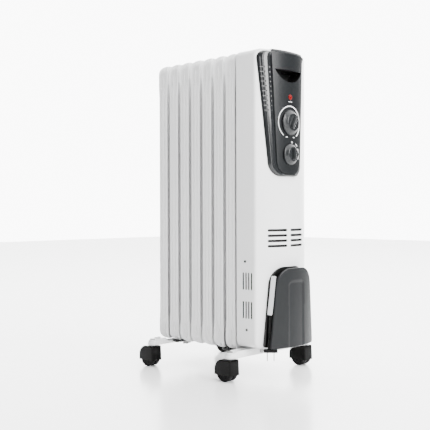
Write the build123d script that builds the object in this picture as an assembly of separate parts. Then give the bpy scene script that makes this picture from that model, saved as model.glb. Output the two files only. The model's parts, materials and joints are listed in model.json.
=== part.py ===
from build123d import *

import os
from math import cos, pi, radians, sin, sqrt, tan

# Oil filled radiator heater, in millimetres.
# X points right as seen from the control panel, Y back along the fins, Z up from the floor.
# The origin is on the floor, in the middle of the footprint without the cord and its plug.

# ---- driving dimensions ----
HOUSING_HALF = 75.8  # half width between the flat sides
BOW = 21.2  # rise of the bowed front over its chord
HOUSING_DEPTH = 47.0  # chord of the bow to the rear edge
HOUSING_BOTTOM = 60.5
HOUSING_TOP = 630.0
HOUSING_CORNER = 14.0
SHEET = 1.0

FIN_COUNT = 7
FIN_PITCH = 32.6
FIN_HALF = 73.8
FIN_BOTTOM = 50.0
FIN_TOP = 631.0
FIN_CORNER = 20.0
FIN_WING = 26.7  # width of the folded side strip
FIN_STEEL = 0.7
FIN_WEB = 0.8
CHANNEL_WALL = 0.6
FIRST_FIN = 66.0  # chord of the bow to the middle of the first fin

CASTER_TRACK = 111.9  # centre plane to the middle of a caster
FRONT_AXLE = 38.8  # chord of the bow to the front axles
REAR_AXLE = 259.8
WHEEL_R = 18.8
TRAIL = 6.8  # swivel axis to axle
HOOD_TOP = 42.5
HOOD_FRONT = 20.8  # axle to the flat front of the hood
HOOD_REAR = 22.3
HOOD_HALF = 13.3
HOOD_WALL = 1.6

COVER_OFFSET = 20.0  # outer face of the winder cover, measured out from the bow
CORD_D = 7.0

# ---- places worked out from them ----
NOSE = BOW + COVER_OFFSET
DEPTH = NOSE + REAR_AXLE + HOOD_REAR
CHORD = NOSE - DEPTH / 2  # Y of the chord of the bowed front
BOW_R = (HOUSING_HALF**2 + BOW**2) / (2 * BOW)
BOW_CENTRE = CHORD + BOW_R - BOW
BACK = CHORD + HOUSING_DEPTH
THROUGH = 400.0  # longer than anything that it cuts
PLATE_FRONT = BACK - 1.5  # back plate of the housing
PLATE_REAR = BACK - 0.5

HEADER_LOW = 96.0
HEADER_HIGH = 585.0
HEADER_R = 20.0
HEADER_BORE = 15.0
HEADER_HALF = 12.0
ELEMENT_GAP = 7.0  # centre plane to each leg of the element
ELEMENT_R = 4.0

BEZEL_RISE = 5.5
PANEL_BACK = 2.0
PANEL_FRONT = 4.0
PANEL_TOP = 632.0
KNOB_GAP = 0.5
LAMP_Z = 541.5
THERMOSTAT_Z = 492.5
MODE_Z = 431.3
SHAFT_R = 3.0
RUNNING = 0.05  # radial clearance of a running fit
BRACKET_FRONT = CHORD - 14.0
BRACKET_REAR = CHORD - 12.8

CORE_R = 24.0
CORE_HALF = 22.0  # half of the straight sides of the winder core
COIL_Z = 140.0
COIL_OUT = 45.8
COIL_BACK = 2.3
COIL_MIDDLE = 9.5
COIL_FRONT = 16.9
CORE_FRONT = 17.0
WINDER_PLATE = 2.0

WEB_BOTTOM = 43.5  # underside of the feet
WEB_TOP = 45.5
SADDLE_TOP = 49.9
BAR_R = 10.0
U_BOLT_R = 20.8
U_ROD = 2.5
STEM_R = 4.0
PLUG_X = -55.0
PLUG_Y = CHORD - 20.8
PLUG_TURN = -45.0


# ---- shapes used all over ----
def block(x0, x1, y0, y1, z0, z1):
    """Box between two corners."""
    return Pos((x0 + x1) / 2, (y0 + y1) / 2, (z0 + z1) / 2) * Box(x1 - x0, y1 - y0, z1 - z0)


def rod_x(radius, x0, x1, y, z):
    return Pos((x0 + x1) / 2, y, z) * Rot(0, 90, 0) * Cylinder(radius, x1 - x0)


def rod_y(radius, y0, y1, x, z):
    return Pos(x, (y0 + y1) / 2, z) * Rot(90, 0, 0) * Cylinder(radius, y1 - y0)


def rod_z(radius, z0, z1, x, y):
    return Pos(x, y, (z0 + z1) / 2) * Cylinder(radius, z1 - z0)


def through_y(outline):
    """An X-Z outline, cut right through along Y."""
    return extrude(Plane.XZ * outline, amount=THROUGH, both=True)


def through_x(outline):
    """A Y-Z outline, cut right through along X."""
    return extrude(Plane.YZ * outline, amount=THROUGH, both=True)


def joined(shapes):
    """One part out of many shapes."""
    shapes = list(shapes)
    return shapes[0].fuse(*shapes[1:]) if len(shapes) > 1 else shapes[0]


def front_y(x, offset):
    """Y of the surface that lies offset outside the bowed front."""
    return BOW_CENTRE - sqrt((BOW_R + offset) ** 2 - x * x)


def bowed_layer(inner, outer):
    """Everything between two offsets from the bowed front."""
    half_disc = Pos(0, -BOW_R) * Rectangle(4 * HOUSING_HALF, 2 * BOW_R)
    ring = (Circle(BOW_R + outer) - Circle(BOW_R + inner)) & half_disc
    return Pos(0, BOW_CENTRE, 0) * extrude(ring, amount=2 * THROUGH)


def tapered_outline(half_low, z_low, half_high, z_high, r_low, r_high):
    """Upright trapezium with rounded corners."""
    corners = [(-half_low, z_low), (half_low, z_low), (half_high, z_high), (-half_high, z_high)]
    face = make_face(Polyline(*corners, close=True))
    face = fillet(face.vertices().group_by(Axis.Y)[0], r_low)
    return fillet(face.vertices().group_by(Axis.Y)[-1], r_high)


def upright_slot(half_width, half_straight, z):
    """X-Z outline of an oval that stands on end."""
    return Pos(0, z) * Rot(0, 0, 90) * SlotCenterToCenter(2 * half_straight, 2 * half_width)


def tube(points, radius):
    """Round tube along straight runs joined by tangent arcs, with the arc radii."""
    places = [Vector(*p) for p in points]
    runs = [b - a for a, b in zip(places, places[1:])]
    radii = []
    for before, after in zip(runs, runs[1:]):
        shorter = min(before.length, after.length)
        half_turn = radians(before.get_angle(after)) / 2
        radii.append(0.45 * shorter / tan(half_turn))
    path = FilletPolyline(*places, radius=radii)
    section = Plane(origin=path @ 0, z_dir=path % 0) * Circle(radius)
    return sweep(section, path), path.length, radii


# ---- fins and oil circuit ----
def fin_rows():
    return [CHORD + FIRST_FIN + i * FIN_PITCH for i in range(FIN_COUNT)]


def fin_outline(inset):
    height = FIN_TOP - FIN_BOTTOM - 2 * inset
    middle = (FIN_TOP + FIN_BOTTOM) / 2
    return Pos(0, middle) * RectangleRounded(2 * (FIN_HALF - inset), height, FIN_CORNER - inset)


def fin_wings():
    """Folded strip round the edge, with a rounded paddle at each end and two grooves."""
    rim = extrude(Plane.XZ * (fin_outline(0) - fin_outline(FIN_STEEL)), amount=FIN_WING / 2, both=True)
    middle = (FIN_TOP + FIN_BOTTOM) / 2
    side_view = Pos(0, middle) * Rot(0, 0, 90) * SlotOverall(FIN_TOP - FIN_BOTTOM, FIN_WING)
    wings = rim & through_x(side_view)
    groove_y = 5.3
    groove_low, groove_high = 92.0, 581.0
    for side in (-1, 1):
        for y in (-groove_y, groove_y):
            x = side * FIN_HALF
            wings -= block(x - 0.4, x + 0.4, y - 1, y + 1, groove_low, groove_high)
    return wings


def fin_channels(inset):
    """Raised oil channels between the two headers, or the oil space inside them."""
    half, wide, tall = 4.0 - inset, 8.0 - inset, 13.0 - inset
    columns = (-50, -19, 19, 50)
    upright = [block(x - wide, x + wide, -half, half, HEADER_LOW, HEADER_HIGH) for x in columns]
    ends = [block(-wide - 50, wide + 50, -half, half, z - tall, z + tall) for z in (HEADER_LOW, HEADER_HIGH)]
    return joined(upright + ends)


def fin():
    plate = extrude(Plane.XZ * fin_outline(FIN_STEEL / 2), amount=FIN_WEB / 2, both=True)
    bosses = [rod_y(HEADER_R, -HEADER_HALF, HEADER_HALF, 0, z) for z in (HEADER_LOW, HEADER_HIGH)]
    body = joined([plate, fin_wings(), fin_channels(0)] + bosses) - fin_channels(CHANNEL_WALL)
    for z in (HEADER_LOW, HEADER_HIGH):
        body -= rod_y(HEADER_BORE, -HEADER_HALF, HEADER_HALF, 0, z)
    return body


def header_collars():
    """Short tubes welded between neighbouring fins, at both headers."""
    rings = []
    for y in fin_rows()[:-1]:
        for z in (HEADER_LOW, HEADER_HIGH):
            start, end = y + HEADER_HALF, y + FIN_PITCH - HEADER_HALF
            rings.append(rod_y(HEADER_R - 2, start, end, 0, z) - rod_y(HEADER_BORE, start, end, 0, z))
    return Compound(children=rings)


def header_caps():
    """Rear end caps and the filler plug at the front of the upper header."""
    rear = fin_rows()[-1] + HEADER_HALF
    front = fin_rows()[0] - HEADER_HALF
    caps = [rod_y(HEADER_R, rear, rear + 1.3, 0, z) for z in (HEADER_LOW, HEADER_HIGH)]
    hexagon = Pos(0, HEADER_HIGH) * RegularPolygon(7.5, 6)
    plug_head = extrude(Plane.XZ * hexagon, amount=3.0)
    plug = rod_y(HEADER_R, front - 2, front, 0, HEADER_HIGH) + Pos(0, front - 2, 0) * plug_head
    return Compound(children=caps + [plug])


def heating_element():
    """U-shaped immersion element in the lower header, with its two terminal blades."""
    front = fin_rows()[0] - HEADER_HALF - 4
    rear = fin_rows()[-1] - 12
    legs = [rod_y(ELEMENT_R, front, rear, s * ELEMENT_GAP, HEADER_LOW) for s in (-1, 1)]
    pins = [rod_y(2, front - 12, front, s * ELEMENT_GAP, HEADER_LOW) for s in (-1, 1)]
    blades = []
    for s in (-1, 1):
        x = s * ELEMENT_GAP
        blades.append(block(x - 2, x + 2, front - 15, front - 11, HEADER_LOW - 3, HEADER_LOW + 4))
    bend = Pos(0, rear, HEADER_LOW) * Torus(ELEMENT_GAP, ELEMENT_R)
    bend &= block(-20, 20, rear, rear + 20, HEADER_LOW - 20, HEADER_LOW + 20)
    return joined(legs + pins + blades + [bend])


def flange_bolt_places():
    return [(19 * cos(radians(a)), HEADER_LOW + 19 * sin(radians(a))) for a in (45, 135, 225, 315)]


def element_flange():
    rear = fin_rows()[0] - HEADER_HALF
    flange = rod_y(24, rear - 4, rear, 0, HEADER_LOW)
    for s in (-1, 1):
        flange -= rod_y(ELEMENT_R, rear - 4, rear, s * ELEMENT_GAP, HEADER_LOW)
    return flange


def flange_bolts():
    face = fin_rows()[0] - HEADER_HALF - 4
    heads = []
    for x, z in flange_bolt_places():
        heads.append(Pos(0, face, 0) * extrude(Plane.XZ * (Pos(x, z) * RegularPolygon(3.4, 6)), amount=3))
    return Compound(children=heads)


# ---- housing ----
def housing_solid(inset, back):
    """The housing as a solid, all its walls moved in by inset, open ended at back."""
    half = HOUSING_HALF - inset
    before_back = Pos(0, back - BOW_R) * Rectangle(4 * HOUSING_HALF, 2 * BOW_R)
    plan = Pos(0, BOW_CENTRE) * Circle(BOW_R - inset) & before_back
    low, high = HOUSING_BOTTOM + inset, HOUSING_TOP - inset
    face = Pos(0, (low + high) / 2) * RectangleRounded(2 * half, high - low, HOUSING_CORNER - inset)
    return extrude(plan, amount=2 * THROUGH) & through_y(face)


def side_slots():
    """Upright louvre slots in both sides."""
    slots = []
    for z in (188.0, 133.0):
        for y in (9.0, 16.0, 23.0, 30.0):
            slots.append(Pos(CHORD + y, z) * Rectangle(2.5, 32.5))
    return slots


def front_slots():
    """Four rows of level slots in two columns."""
    slots = []
    for z in (285.0, 274.8, 264.7, 254.8):
        for side in (-1, 1):
            slots.append(Pos(side * 28.4, z) * SlotOverall(45.2, 3.6))
    return slots


SIDE_SCREWS = [(CHORD + 24.6, 225.6), (CHORD + 21.0, 94.9)]
POD_SCREWS = [(-22.0, 412.0), (22.0, 412.0), (-22.0, 552.0), (22.0, 552.0)]
GRIP_FLOOR = 1.4
GRIP_HALF = 39.5


def grip_outline(margin):
    """Crescent mouth of the grip recess, a straight edge over an arc."""
    edge = Line((-GRIP_HALF, 593), (GRIP_HALF, 593))
    arc = ThreePointArc((GRIP_HALF, 593), (0, 570), (-GRIP_HALF, 593))
    mouth = make_face(Wire([edge, arc]))
    return offset(mouth, amount=margin) if margin else mouth


def housing_cover():
    shell = housing_solid(0, BACK) - housing_solid(SHEET, BACK + 20)
    front_half = block(-HOUSING_HALF, HOUSING_HALF, CHORD - 60, CHORD + 10, 0, 2 * THROUGH)
    shell -= joined([through_y(s) for s in front_slots()]) & front_half
    shell -= joined([through_x(s) for s in side_slots()])
    opening = GRIP_HALF + 3
    shell -= block(-opening, opening, CHORD - 60, CHORD + 10, 567, 597)
    for z in (LAMP_Z, THERMOSTAT_Z, MODE_Z):
        shell -= rod_y(6.0, CHORD - 60, CHORD, 0, z)
    for x, z in POD_SCREWS:
        shell -= rod_y(2.2, CHORD - 60, CHORD, x, z)
    for y, z in SIDE_SCREWS:
        shell -= rod_x(1.6, -THROUGH / 2, THROUGH / 2, y, z)
    for x in range(-56, 57, 14):
        shell -= block(x - 1.5, x + 1.5, CHORD + 6, CHORD + 20, HOUSING_BOTTOM - 1, HOUSING_BOTTOM + 3)
    return shell


def housing_back_plate():
    half = HOUSING_HALF - SHEET
    low, high = HOUSING_BOTTOM + SHEET, HOUSING_TOP - SHEET
    face = Pos(0, (low + high) / 2) * RectangleRounded(2 * half, high - low, HOUSING_CORNER - SHEET)
    for z in range(150, 540, 26):
        for side in (-1, 1):
            face -= Pos(side * 46, z) * SlotOverall(36, 4)
    plate = Pos(0, PLATE_REAR, 0) * extrude(Plane.XZ * face, amount=PLATE_REAR - PLATE_FRONT)
    plate -= rod_y(26, PLATE_FRONT, PLATE_REAR, 0, HEADER_LOW)
    return plate - rod_y(22, PLATE_FRONT, PLATE_REAR, 0, HEADER_HIGH)


def housing_brackets():
    """Straps from the back plate to the first fin, and tabs that the front foot is screwed to."""
    fin_face = fin_rows()[0] - 0.5
    straps = []
    for z in (65.5, 612.0):
        arm = block(-15, 15, PLATE_REAR, fin_face, z, z + 1.5)
        straps.append(arm + block(-15, 15, PLATE_REAR, PLATE_REAR + 1.5, z, z + 8))
    tabs = []
    for side in (-1, 1):
        inner, outer = sorted((side * 26, side * 40))
        wall = block(inner, outer, CHORD + 23.6, CHORD + 25.1, WEB_TOP, HOUSING_BOTTOM)
        shelf = block(inner, outer, CHORD + 23.6, CHORD + 37, HOUSING_BOTTOM - 1.5, HOUSING_BOTTOM)
        tab = wall + shelf
        tabs.append(tab - rod_y(2, CHORD + 20, CHORD + 30, side * 33, 50))
    return Compound(children=straps + tabs)


# ---- control pod ----
def bezel_outline():
    """Wide of the panel on the left, and only just round it on the right."""
    left = Pos(-50, 507) * Rectangle(100, 300)
    wide = tapered_outline(49.7, 388.0, 74.4, 626.0, 28.0, 14.0) & left
    narrow = tapered_outline(34.8, 388.0, 49.2, 626.0, 28.0, 6.0) - left
    return wide + narrow


def panel_outline(gap=0.0):
    return tapered_outline(33.3 + gap, 392.0 - gap, 47.7 + gap, PANEL_TOP + gap, 27.0, 10.0)


def half_at(z, low, z_low, high, z_high):
    """Half width of a tapered outline at height z."""
    return low + (high - low) * (z - z_low) / (z_high - z_low)


def louvres():
    """Short level slots up the wide side of the bezel."""
    cuts = []
    for i in range(10):
        z = 513 + 9.1 * i
        inner = half_at(z, 33.3, 392, 47.7, 632) + 5
        outer = half_at(z, 49.7, 388, 74.4, 626) - 3
        cuts.append(Pos(-(inner + outer) / 2, z) * Rectangle(outer - inner, 3))
    return joined([through_y(c) for c in cuts]) & bowed_layer(1.0, BEZEL_RISE + 1)


def panel_holes():
    return [rod_y(5.4, CHORD - 60, CHORD, 0, LAMP_Z)] + [
        rod_y(5, CHORD - 60, CHORD, 0, z) for z in (THERMOSTAT_Z, MODE_Z)
    ]


def control_base():
    """Glossy bezel: a thin floor behind the panel and a raised band down its left side."""
    bezel = bowed_layer(0, BEZEL_RISE) & through_y(bezel_outline())
    bezel -= bowed_layer(PANEL_BACK, BEZEL_RISE + 1) & through_y(panel_outline(0.2))
    bezel -= louvres()
    bezel -= through_y(grip_outline(GRIP_FLOOR)) & bowed_layer(-1, BEZEL_RISE + 1)
    for x, z in POD_SCREWS:
        bezel -= rod_y(1.9, front_y(x, 1.5), CHORD, x, z)
    return bezel - joined(panel_holes())


def control_face():
    """Satin control panel, which wraps over the top of the housing."""
    rear = CHORD + 9
    plan = Pos(0, BOW_CENTRE) * Circle(BOW_R + PANEL_FRONT)
    plan &= Pos(0, rear - 50) * Rectangle(100, 100)
    cap = Pos(0, 0, HOUSING_TOP) * extrude(plan, amount=PANEL_TOP - HOUSING_TOP)
    skin = bowed_layer(PANEL_BACK, PANEL_FRONT) + cap
    panel = skin & through_y(panel_outline())
    panel -= through_y(grip_outline(0)) & bowed_layer(-1, PANEL_FRONT + 1)
    return panel - joined(panel_holes())


def grip_pocket():
    """Moulded cup behind the grip mouth."""
    rear = CHORD + 6
    reach = block(-60, 60, CHORD - 60, rear, 540, 620) - bowed_layer(PANEL_BACK, 60)
    cup = through_y(grip_outline(GRIP_FLOOR)) & reach
    hollow = through_y(grip_outline(0)) & block(-60, 60, CHORD - 60, rear - GRIP_FLOOR, 540, 620)
    return cup - hollow


def indicator_lens():
    """Domed jewel over the neon lamp."""
    face = CHORD - BOW - PANEL_FRONT
    barrel = rod_y(5.4, face - 2.6, CHORD - 19, 0, LAMP_Z)
    return barrel & Pos(0, face - 2.6 + 9, LAMP_Z) * Sphere(9)


def indicator_lamp():
    return rod_y(3, CHORD - 18.4, CHORD - 7, 0, LAMP_Z)


def knob(z, base_r, top_r, bar_half, turn):
    """Round knob: a flange, a coned skirt and a raised pointer bar."""
    skirt = Pos(0, 0, 1) * Cylinder(base_r, 2) + Pos(0, 0, 5) * Cone(base_r, top_r, 6)
    grip = Pos(0, 0, 11) * Box(6.5, 2 * bar_half, 6)
    grip = fillet(grip.edges().group_by(Axis.Z)[-1], 1.5)
    body = skirt + grip - Pos(0, 0, 4) * Cylinder(SHAFT_R, 8)
    back = CHORD - BOW - PANEL_FRONT - KNOB_GAP
    return Pos(0, back, z) * Rot(90, 0, 0) * Rot(0, 0, -turn) * body


def shaft(z):
    """Spindle from inside the knob into the switch behind the panel."""
    back = CHORD - BOW - PANEL_FRONT - KNOB_GAP
    return rod_y(SHAFT_R, back - 8, BRACKET_REAR + 7, 0, z)


def switch_body(z, half_width, half_height, depth):
    rear = BRACKET_REAR + depth
    body = block(-half_width, half_width, BRACKET_REAR, rear, z - half_height, z + half_height)
    return body - rod_y(SHAFT_R + RUNNING, BRACKET_REAR, BRACKET_REAR + 8, 0, z)


def control_bracket():
    """Steel plate that carries the thermostat, switch and lamp behind the housing."""
    plate = block(-28, 28, BRACKET_FRONT, BRACKET_REAR, 403, 561)
    posts = [rod_y(3.6, CHORD - 40, BRACKET_FRONT, x, z) for x, z in POD_SCREWS]
    body = plate + (joined(posts) & bowed_layer(-12, -SHEET))
    for x, z in POD_SCREWS:
        body -= rod_y(1.9, CHORD - 40, CHORD, x, z)
    for z in (THERMOSTAT_Z, MODE_Z):
        body -= rod_y(5, BRACKET_FRONT, BRACKET_REAR, 0, z)
    return body - rod_y(3, BRACKET_FRONT, BRACKET_REAR, 0, LAMP_Z)


def case_screws():
    """Side screws of the housing, screws of the control bracket and of the front foot."""
    screws = []
    for side in (-1, 1):
        wall = side * HOUSING_HALF
        for y, z in SIDE_SCREWS:
            head = rod_x(2.6, *sorted((wall, wall + side * 1.0)), y, z)
            screws.append(head + rod_x(1.6, *sorted((wall, wall - side * 8)), y, z))
        head = rod_y(4.2, CHORD + 20, CHORD + 22, side * 33, 50)
        screws.append(head + rod_y(2, CHORD + 22, CHORD + 28, side * 33, 50))
    for x, z in POD_SCREWS:
        shank = rod_y(1.9, front_y(x, 1.5) + 0.1, BRACKET_REAR, x, z)
        screws.append(shank + rod_y(3.5, BRACKET_REAR, BRACKET_REAR + 2, x, z))
    return Compound(children=screws)


# ---- electrical parts inside the housing ----
def thermal_cutoff():
    return rod_y(8.5, PLATE_FRONT - 7, PLATE_FRONT, 24, 548) + block(
        12, 36, PLATE_FRONT - 1.2, PLATE_FRONT, 543, 553
    )


TIP_X = 45.0
TIP_PIVOT_Z = 97.0
TIP_FRONT = CHORD + 27


def tip_switch_case():
    """Open-topped case with the pivot pin of the pendulum across it."""
    case = block(28, 62, TIP_FRONT, PLATE_FRONT, 68, 104)
    case -= block(30, 60, TIP_FRONT + 2, PLATE_FRONT - 2, 70, 105)
    return case + rod_y(1.5, TIP_FRONT, PLATE_FRONT, TIP_X, TIP_PIVOT_Z)


def tip_switch_pendulum():
    middle = (TIP_FRONT + PLATE_FRONT) / 2
    hub = rod_y(3.5, middle - 4, middle + 4, TIP_X, TIP_PIVOT_Z)
    arm = block(TIP_X - 1, TIP_X + 1, middle - 2, middle + 2, 80, TIP_PIVOT_Z)
    bob = rod_y(5, middle - 5, middle + 5, TIP_X, 79)
    return hub + arm + bob - rod_y(1.5 + RUNNING, middle - 4, middle + 4, TIP_X, TIP_PIVOT_Z)


def terminal_block():
    body = block(-20, 20, PLATE_FRONT - 13, PLATE_FRONT, 330, 344)
    for x in (-13.3, 0, 13.3):
        body -= rod_y(2.2, PLATE_FRONT - 13, PLATE_FRONT - 9, x, 337)
    return body


def wiring_loom():
    """Leads from the cord to the terminal block, up to the switches, and down to the element."""
    block_y = PLATE_FRONT - 7
    element_y = fin_rows()[0] - HEADER_HALF - 4 - 13
    up = [(-8, block_y, 344), (-8, block_y, 361), (-7, CHORD + 20, 381), (-6, CHORD, 401), (-6, CHORD, 418.3)]
    supply = [(44, CHORD - 4, 75), (44, CHORD + 4, 92), (40, CHORD + 10, 125), (34, CHORD + 13, 175)]
    supply += [(26, CHORD + 18, 225), (18, CHORD + 27, 268), (12, block_y, 302), (12, block_y, 330)]
    wires = [tube(up, 1.6)[0], tube(supply, 2.6)[0]]
    for side in (-1, 1):
        wires.append(rod_z(1.8, HEADER_LOW + 4, 330, side * ELEMENT_GAP, element_y))
    wires.append(rod_z(1.6, MODE_Z + 13, THERMOSTAT_Z - 15, -6, CHORD))
    return Compound(children=wires)


# ---- cord winder ----
def winder_base():
    """Back plate on the bowed front, with the hub that the cord is wound on."""
    plate_outline = tapered_outline(62.2, 63.0, 48.6, 214.5, 4.0, 35.0)
    plate = bowed_layer(0, WINDER_PLATE) & through_y(plate_outline)
    hub = upright_slot(CORE_R, CORE_HALF, COIL_Z) - upright_slot(CORE_R - 2, CORE_HALF, COIL_Z)
    return plate + (bowed_layer(WINDER_PLATE, CORE_FRONT) & through_y(hub))


def winder_cover():
    """Curved front plate with a shallow recessed panel that runs out at its lower edge."""
    outline = tapered_outline(63.4, 61.0, 48.4, 212.5, 5.0, 33.0)
    cover = bowed_layer(CORE_FRONT, COVER_OFFSET) & through_y(outline)
    panel = tapered_outline(23.5, 50.0, 23.5, 188.0, 1.0, 9.0)
    return cover - (bowed_layer(COVER_OFFSET - 0.8, COVER_OFFSET + 1) & through_y(panel))


GLAND_X = 51.0
GLAND_OFFSET = 7.2
GLAND_TOP = 98.0


def cord_gland():
    """Elbow on the winder plate with a tapered strain relief that points up."""
    y = front_y(GLAND_X, GLAND_OFFSET)
    elbow = block(GLAND_X - 6, GLAND_X + 6, CHORD - 60, CHORD, 66, 78)
    elbow &= bowed_layer(WINDER_PLATE, GLAND_OFFSET + 5)
    return elbow + Pos(GLAND_X, y, (78 + GLAND_TOP) / 2) * Cone(4.9, 4.0, GLAND_TOP - 78)


# Cord route at rest: x, offset from the bowed front, z
LEAD_ROUTE = [(51, 7.2, 98), (51, 7.2, 112), (49.8, 6.9, 127), (46.0, 6.2, 142), (42.2, 5.9, 157)]
TAIL_ROUTE = [
    (-43.0, 13.2, 170),
    (-46.6, 13.1, 160),
    (-50.0, 12.2, 150),
    (-52.4, 10.4, 134),
    (-54.4, 9.4, 117),
    (-55.2, 9.3, 104.5),
    (-55.2, 9.3, 93),
]
PLUG_TOP = 93.0


def cord_points(route):
    return [(x, front_y(x, out), z) for x, out, z in route]


def cord_coil():
    """Outer shape of the turns wound on the hub, stepped where the tail leaves the front layer."""
    ring = upright_slot(COIL_OUT, CORE_HALF, COIL_Z) - upright_slot(CORE_R + 0.3, CORE_HALF, COIL_Z)
    step = bowed_layer(COIL_MIDDLE, COIL_FRONT + 1) & block(-60, -39, CHORD - 60, CHORD, 60, 174)
    return (bowed_layer(COIL_BACK, COIL_FRONT) & through_y(ring)) - step


def cord_run(name, route, coil):
    """Tube along a free stretch of cord, trimmed where it runs into the coil."""
    run, length, radii = tube(cord_points(route), CORD_D / 2)
    section = pi * CORD_D**2 / 4
    print(name, "length", round(length, 1), "radii", [round(r) for r in radii])
    print(name, "volume over section x length", round(run.volume / (section * length), 3))
    return run - coil


def plug_frame():
    """Plug axes: blades side by side along its own X, standing on its face."""
    return Pos(PLUG_X, PLUG_Y, 0) * Rot(0, 0, PLUG_TURN)


def plug_body():
    """Two-blade plug: a wide face block, a tapered body and a ribbed neck up to the cord."""
    face = extrude(Pos(0, 0, 54.5) * RectangleRounded(26.5, 15, 3), amount=5.7)
    waist = Pos(0, 0, 60.2) * RectangleRounded(11, 10.5, 2)
    shoulder = Pos(0, 0, 82) * RectangleRounded(8.4, 8.4, 2)
    body = face + loft([waist, shoulder])
    end_x, end_y = -55.2, front_y(-55.2, 9.3)
    upper = Pos(end_x, end_y, (82 + PLUG_TOP) / 2) * Cylinder(4.1, PLUG_TOP - 82)
    return plug_frame() * body + upper


def plug_blades():
    blades = [block(s * 6.35 - 0.75, s * 6.35 + 0.75, -3.15, 3.15, 38.5, 54.5) for s in (-1, 1)]
    return Compound(children=[plug_frame() * b for b in blades])


def cord_label():
    """Blank tag on the cord, seen edge-on between the winder plates."""
    slant = make_face(Polyline((-48.8, 199), (-49.3, 199), (-57.8, 125), (-57.3, 125), close=True))
    return bowed_layer(3, 16.5) & through_y(slant)


# ---- feet ----
def foot_plan(inset, stem_y):
    return Pos(0, stem_y) * SlotCenterToCenter(2 * CASTER_TRACK, 2 * (BAR_R - inset))


def foot(stem_y, crown, tongue_y0, tongue_y1):
    """Pressed steel channel across the bottom, with a socket for a caster at each end."""
    bar = extrude(Pos(0, 0, WEB_BOTTOM) * foot_plan(0, stem_y), amount=20)
    tip = CASTER_TRACK + BAR_R
    high = 57.0
    side = [(tip, WEB_BOTTOM), (tip, 50), (98, high), (82, high), (78, crown)]
    face = make_face(Polyline(*side, *[(-x, z) for x, z in reversed(side)], close=True))
    bar &= through_y(face)
    bar -= extrude(Pos(0, 0, WEB_TOP) * foot_plan(1.6, stem_y), amount=20)
    bar -= block(-24, 24, stem_y - 20, stem_y + 20, WEB_TOP, high)
    bar += block(-30, 30, tongue_y0, tongue_y1, WEB_BOTTOM, WEB_TOP)
    for s in (-1, 1):
        x = s * CASTER_TRACK
        bar += rod_z(7.5, WEB_BOTTOM, 54.9, x, stem_y)
        bar -= rod_z(STEM_R + RUNNING, WEB_BOTTOM, 54.9, x, stem_y)
    return bar


FRONT_STEM = CHORD + FRONT_AXLE - TRAIL
REAR_STEM = CHORD + REAR_AXLE - TRAIL
FRONT_U = CHORD + FIRST_FIN + FIN_PITCH / 2
REAR_U = CHORD + FIRST_FIN + (FIN_COUNT - 1.5) * FIN_PITCH


def u_legs(y):
    return joined([rod_z(U_ROD, 36, HEADER_LOW, s * U_BOLT_R, y) for s in (-1, 1)])


def foot_front():
    body = foot(FRONT_STEM, 57.0, FRONT_STEM + 9, FRONT_U + 16) - u_legs(FRONT_U)
    for s in (-1, 1):
        body -= rod_y(2, FRONT_STEM - 12, FRONT_STEM - 6, s * 33, 50)
    return body


def foot_rear():
    return foot(REAR_STEM, 49.4, REAR_STEM - 31, REAR_STEM) - u_legs(REAR_U)


def foot_saddles():
    """Black cushions between the feet and the fins."""
    front = block(-66, 66, CHORD + 58, CHORD + 98, WEB_TOP, SADDLE_TOP)
    front = chamfer(front.edges().filter_by(Axis.Y).group_by(Axis.Z)[0], 4)
    rib = block(-66, 66, FRONT_U - 2.2, FRONT_U + 2.2, SADDLE_TOP, 60)
    pads = [block(*sorted((s * 14, s * 28)), FRONT_U - 5, FRONT_U + 5, SADDLE_TOP, 60) for s in (-1, 1)]
    front = joined([front, rib] + pads) - u_legs(FRONT_U)
    rear = block(-66, 66, CHORD + 220, REAR_STEM - BAR_R - 0.3, WEB_TOP, SADDLE_TOP)
    return Compound(children=[front, rear])


def u_bolts():
    """Rods over the lower header collars, down through the feet."""
    bolts = []
    for y in (FRONT_U, REAR_U):
        arch = Pos(0, y, HEADER_LOW) * Rot(90, 0, 0) * Torus(U_BOLT_R, U_ROD)
        arch &= block(-40, 40, y - 10, y + 10, HEADER_LOW, HEADER_LOW + 40)
        bolts.append(arch + u_legs(y))
    return Compound(children=bolts)


def wing_nuts():
    nuts = []
    for y in (FRONT_U, REAR_U):
        for s in (-1, 1):
            x = s * U_BOLT_R
            nut = rod_z(5, 38.5, WEB_BOTTOM, x, y) + block(x - 11, x + 11, y - 1, y + 1, 37, 43)
            nuts.append(nut - rod_z(U_ROD, 36, WEB_BOTTOM, x, y))
    return Compound(children=nuts)


# ---- casters ----
def hood_side(inset, top_inset, low):
    """Y-Z outline of the hood: flat front and top, round back."""
    front, rear = -HOOD_FRONT + inset, HOOD_REAR - inset
    top = HOOD_TOP - top_inset
    corners = [(front, low), (rear, low), (rear, top), (front, top)]
    face = make_face(Polyline(*corners, close=True))
    upper = face.vertices().group_by(Axis.Y)[-1].sort_by(Axis.X)
    face = fillet(upper[-1], 20 - inset)
    upper = face.vertices().group_by(Axis.Y)[-1].sort_by(Axis.X)
    return fillet(upper[0], 2.5 - inset / 2)


def caster_hood():
    low = 13.0
    shell = extrude(Plane.YZ * hood_side(0, 0, low), amount=HOOD_HALF, both=True)
    shell -= extrude(Plane.YZ * hood_side(HOOD_WALL, 3.0, low - 5), amount=HOOD_HALF - HOOD_WALL, both=True)
    shell -= rod_x(2.5, -HOOD_HALF + 0.6, HOOD_HALF - 0.6, 0, WHEEL_R)
    return shell - rod_z(STEM_R, 30, HOOD_TOP, 0, -TRAIL)


def caster_wheel():
    """Twin treads on one hub."""
    half = HOOD_HALF - HOOD_WALL - 0.5
    wheel = rod_x(WHEEL_R, -half, half, 0, WHEEL_R)
    wheel -= rod_x(WHEEL_R, -1.2, 1.2, 0, WHEEL_R) - rod_x(WHEEL_R - 2.5, -1.2, 1.2, 0, WHEEL_R)
    return wheel - rod_x(2.5 + RUNNING, -half, half, 0, WHEEL_R)


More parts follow.
